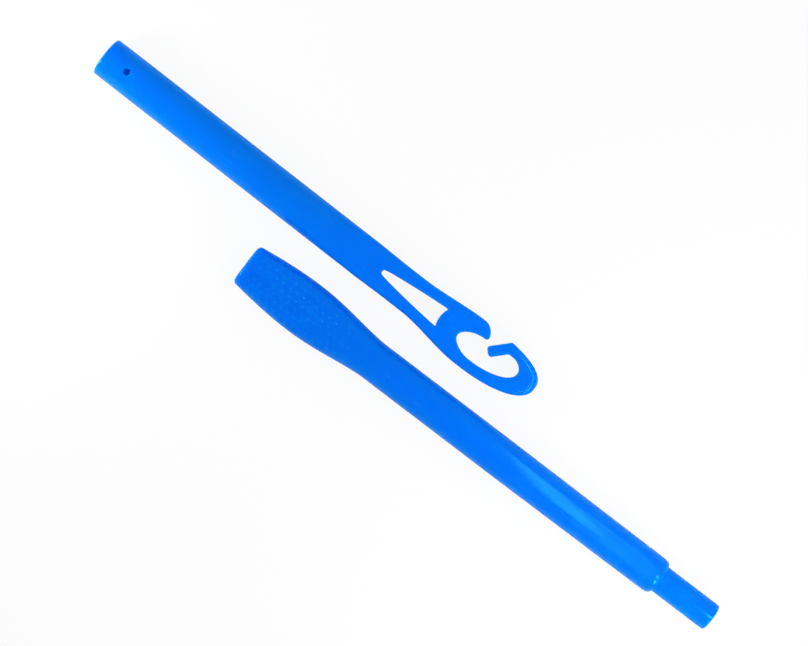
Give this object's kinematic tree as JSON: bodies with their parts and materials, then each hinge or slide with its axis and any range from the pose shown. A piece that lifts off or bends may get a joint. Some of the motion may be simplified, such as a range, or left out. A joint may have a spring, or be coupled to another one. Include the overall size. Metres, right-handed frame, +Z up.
{
  "type": "dressing stick",
  "caption": "Sock and dressing aid in two tubular halves that plug together: one has a flattened grip and a spigot, the other a slotted head with a curled hook.",
  "frame": {"origin": "middle of the base of the box round both halves, on the surface that both halves lie on", "axes": "+X along the hook half from its socket's mouth to its hook, +Y from the handle half to the hook half, +Z up from the surface"},
  "size_m": [0.5092, 0.0802, 0.0258],
  "materials": {
    "blue_plastic": "satin moulded plastic in bright azure blue, with a low studded texture on the grip",
    "button_steel": "turned and polished stainless steel",
    "spring_steel": "rolled spring steel strip"
  },
  "bodies": {
    "hook_half": {"hook_half": "blue_plastic"},
    "handle_half": {"handle_half": "blue_plastic", "lock_spring": "spring_steel"},
    "lock_button": {"lock_button": "button_steel"}
  },
  "joints": [
    {"name": "halves_slide", "type": "slide", "parent": "hook_half", "child": "handle_half", "axis": [-0.9999, -0.011, 0], "range_m": [0, 0.52]},
    {"name": "button_press", "type": "slide", "parent": "handle_half", "child": "lock_button", "axis": [0, 0, 1], "range_m": [0, 0.0031], "stiffness_N_per_m": 1000, "springref_m": -0.002, "deforming": ["lock_spring"]}
  ]
}
